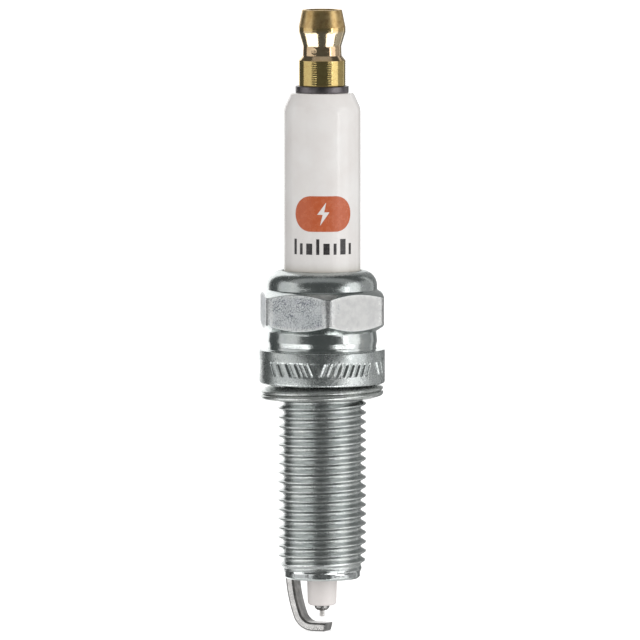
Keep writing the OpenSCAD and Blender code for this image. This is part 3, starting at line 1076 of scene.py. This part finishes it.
def zinc_gasket_material():
    m = Shader("zinc_plate_gasket", metallic=0.8)
    marks = m.noise(4.0, 3, 0.6, m.turned(0.06))
    stain = m.remap(m.noise(2.0, 4, 0.6), 0.45, 0.7)
    colour = m.mix(m.scaled(stain, 0.4, 0.25), zinc_base(m, 0.24), (0.33, 0.335, 0.31))
    return m.finish(colour, m.remap(marks, 0.3, 0.7, 0.16, 0.30), m.bump(marks, 0.25, 0.03))


def nickel_material(name, dark, light, shine, relief):
    """Drawn nickel alloy between two greys. Shine is its least roughness."""
    m = metal(name)
    streaks = m.noise(6.0, 4, 0.6)
    warm = [(value, value * 0.975, value * 0.955) for value in (dark, light)]
    colour = m.mix(m.remap(m.noise(1.2, 3), 0.35, 0.65), *warm)
    spots = m.remap(m.noise(7.0, 4, 0.7), 0.58, 0.72)
    colour = m.mix(m.times(spots, 0.4), colour, (0.12, 0.11, 0.105))
    return m.finish(colour, m.remap(streaks, 0.3, 0.7, shine, shine + 0.16), m.bump(streaks, relief, 0.03))


def iridium_material():
    m = Shader("iridium_wire", metallic=0.6)
    marks = m.noise(9.0, 3, 0.6, m.turned(0.05))
    colour = m.mix(m.noise(2.0), (0.56, 0.54, 0.52), (0.68, 0.66, 0.64))
    return m.finish(colour, m.remap(marks, 0.3, 0.7, 0.25, 0.38), m.bump(marks, 0.1, 0.005))


def hidden_material(name, dark, light, scale, rough, metallic=0.0):
    """Grainy finish for the pieces that are hidden in the plug."""
    m = Shader(name, metallic=metallic)
    grain = m.noise(scale, 4, 0.6)
    colour = m.mix(m.remap(grain, 0.35, 0.65), dark, light)
    return m.finish(colour, m.remap(grain, 0.3, 0.7, rough - 0.08, rough + 0.08), m.bump(grain, 0.3, 0.03))


def paint_hidden_nodes():
    glass = hidden_material("seal_glass", (0.20, 0.12, 0.09), (0.34, 0.22, 0.17), 3.0, 0.35)
    carbon = hidden_material("resistor_glass", (0.015, 0.015, 0.017), (0.05, 0.05, 0.055), 4.0, 0.4)
    copper = hidden_material("bright_copper", (0.62, 0.27, 0.16), (0.80, 0.42, 0.28), 2.0, 0.28, 1.0)
    talc = hidden_material("pressed_talc", (0.62, 0.60, 0.55), (0.74, 0.72, 0.68), 6.0, 0.85)
    steel = hidden_material("soft_steel", (0.28, 0.28, 0.29), (0.42, 0.42, 0.43), 4.0, 0.38, 1.0)
    for node, material in (
        ("upper_glass_seal", glass), ("lower_glass_seal", glass), ("resistor", carbon),
        ("copper_core", copper), ("talc_packing", talc), ("seat_washer", steel),
        ("upper_packing_ring", steel), ("lower_packing_ring", steel),
    ):
        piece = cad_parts[node]
        piece.data.materials.clear()
        piece.data.materials.append(material)


# ---- camera, light and floor

LOOK_AT = Vector((-0.275, 0, 8.5)) * MM
VIEW_HEIGHT = 0.0865        # height that the picture takes in at the plug
CAMERA_AWAY = 1.5
CAMERA_ABOVE = radians(4.5)
WORLD_MATTE = 0.78          # brightness of the surroundings to matte surfaces
WORLD_GLOSSY = 0.095        # and in reflections
MATTE_TINT = (1, 0.985, 0.98)
GLOSSY_TINT = (0.93, 1, 0.99)

# Soft boxes that show in reflections only: name, degrees round the plug, degrees up, brightness.
# Degrees round the plug start in front, with 90 on the right.
SOFT_BOXES = (
    ("left_box", (-54, -30), (-14, -2), 0.80),
    ("left_high_box", (-54, -48), (-2, 12), 0.55),
    ("left_tall_box", (-103, -54), (-24, 32), 0.70),
    ("left_low_box", (-94, -31), (-44, -22), 2.4),
    ("right_box", (31, 54), (-14, -2), 1.3),
    ("right_high_box", (47, 54), (-2, 12), 3.6),
    ("right_tall_box", (54, 86), (-24, 32), 1.22),
    ("right_low_box", (29, 72), (-44, -22), 2.4),
    ("right_gleam", (26, 50), (-64, -50), 4.8),
    ("right_wall", (87, 121), (-30, 30), 0.30),
    ("right_strip", (124, 138), (-40, 40), 0.55),
    ("right_backdrop", (148, 172), (-40, 60), 0.22),
    ("left_backdrop", (172, 214), (-40, 60), 1.35),
    ("overhead", (-60, 60), (50, 86), 0.28),
    ("table", (-50, 50), (-135, -80), 0.7),
)
MATTE_BOX = ("right_fill", (15, 85), (-30, 50), 0.65)       # the one that lights matte surfaces


def aim(thing, target):
    way = target - thing.location
    thing.rotation_euler = way.to_track_quat("-Z", "Y").to_euler()


def add_camera():
    data = bpy.data.cameras.new("camera")
    data.sensor_width = 36
    data.lens = data.sensor_width * CAMERA_AWAY / VIEW_HEIGHT
    data.clip_start, data.clip_end = 0.05, 100
    data.dof.use_dof = False
    camera = bpy.data.objects.new("camera", data)
    away = Vector((0, -cos(CAMERA_ABOVE), sin(CAMERA_ABOVE))) * CAMERA_AWAY
    camera.location = LOOK_AT + away
    aim(camera, LOOK_AT)
    bpy.context.scene.collection.objects.link(camera)
    bpy.context.scene.camera = camera


def add_soft_box(name, around, up, brightness, matte):
    """A soft box that fills a range of directions. It lights matte surfaces or shows in reflections."""
    away = 0.6
    data = bpy.data.lights.new(name, "AREA")
    data.shape = "RECTANGLE"
    data.size = 2 * away * tan(radians(around[1] - around[0]) / 2)
    data.size_y = 2 * away * tan(radians(up[1] - up[0]) / 2)
    data.energy = brightness * pi * data.size * data.size_y
    box = bpy.data.objects.new(name, data)
    a, e = radians(sum(around) / 2), radians(sum(up) / 2)
    way = Vector((sin(a) * cos(e), -cos(a) * cos(e), sin(e)))
    box.location = LOOK_AT + way * away
    aim(box, LOOK_AT)
    box.visible_camera = False
    box.visible_diffuse = matte
    box.visible_glossy = not matte
    bpy.context.scene.collection.objects.link(box)


def add_world():
    """White to the eye, paler grey to matte surfaces, and a dim studio in reflections."""
    world = bpy.data.worlds.new("studio")
    bpy.context.scene.world = world
    world.use_nodes = True
    nodes = Nodes(world.node_tree)
    background = nodes.tree.nodes["Background"].inputs
    path = nodes.node("LightPath").outputs
    level = nodes.scaled(path["Is Camera Ray"], 1.0 - WORLD_MATTE, WORLD_MATTE)
    level = nodes.scaled(path["Is Glossy Ray"], WORLD_GLOSSY - WORLD_MATTE, level)
    nodes.put(background["Strength"], level)
    nodes.put(background["Color"], nodes.mix(path["Is Glossy Ray"], MATTE_TINT, GLOSSY_TINT))


def add_floor():
    mesh = bpy.data.meshes.new("floor")
    size, level = 12.0, (STRAP_LOW - 0.02) * MM
    corners = [(-size, -size, level), (size, -size, level), (size, size, level), (-size, size, level)]
    mesh.from_pydata(corners, [], [(0, 1, 2, 3)])
    floor = bpy.data.objects.new("floor", mesh)
    m = Shader("pale_floor", specular_ior_level=0.0)
    m.shader.inputs["Emission Color"].default_value = (1, 1, 1, 1)
    m.shader.inputs["Emission Strength"].default_value = 0.5
    colour = m.mix(m.noise(0.002), (0.90, 0.90, 0.90), (0.92, 0.92, 0.92))
    mesh.materials.append(m.finish(colour, 0.9))
    floor.visible_diffuse = False
    floor.visible_glossy = False
    floor.visible_shadow = False
    bpy.context.scene.collection.objects.link(floor)


# ---- the whole scene

def add_plug():
    zinc = [zinc_turned_material(), zinc_flat_material(), zinc_thread_material()]
    add_piece("shell_body", shell_skin(), zinc, "plug", "zinc_plate", "shell")
    folded = [zinc_gasket_material()]
    add_piece("folded_gasket", gasket_skin(), folded, "washer", "zinc_plate", "gasket", sharp=40)
    add_piece("brass_nut", nut_skin(), [brass_material()], "nut", "brass", "terminal_nut")
    add_piece("stud", stud_skin(), [stud_material()], "plug", "stud_steel", "terminal_stud")
    add_piece("ceramic", insulator_skin(), [insulator_material()], "plug", "glazed_alumina", "insulator")
    inks = [
        ink_material("orange_ink", (0.50, 0.105, 0.035), (0.56, 0.135, 0.05)),
        ink_material("graphite_ink", (0.028, 0.026, 0.028), (0.06, 0.056, 0.058)),
    ]
    add_print(inks).visible_glossy = False
    wire = [nickel_material("nickel_alloy", 0.22, 0.38, 0.22, 0.6)]
    add_piece("centre_wire", centre_electrode_skin(), wire, "plug", "nickel_alloy", "centre_electrode")
    add_piece("fine_tip", tip_skin(), [iridium_material()], "plug", "iridium", "iridium_tip")
    drawn = [
        nickel_material("nickel_alloy_bright", 0.72, 0.92, 0.16, 0.15),
        nickel_material("nickel_alloy_cut", 0.31, 0.49, 0.35, 1.0),
        nickel_material("nickel_alloy_dull", 0.46, 0.70, 0.36, 1.0),
        # Painted shade: a dark copy of the alloy for the strap's rounded corners
        nickel_material("nickel_alloy_painted_edge_shade", 0.16, 0.28, 0.3, 0.4),
    ]
    add_piece("side_strap", strap_skin(), drawn, "plug", "nickel_alloy", "ground_electrode")
    paint_hidden_nodes()


add_plug()
add_camera()
add_world()
add_floor()
for soft_box in SOFT_BOXES:
    add_soft_box(*soft_box, matte=False)
add_soft_box(*MATTE_BOX, matte=True)
bpy.context.scene.view_settings.view_transform = "Standard"
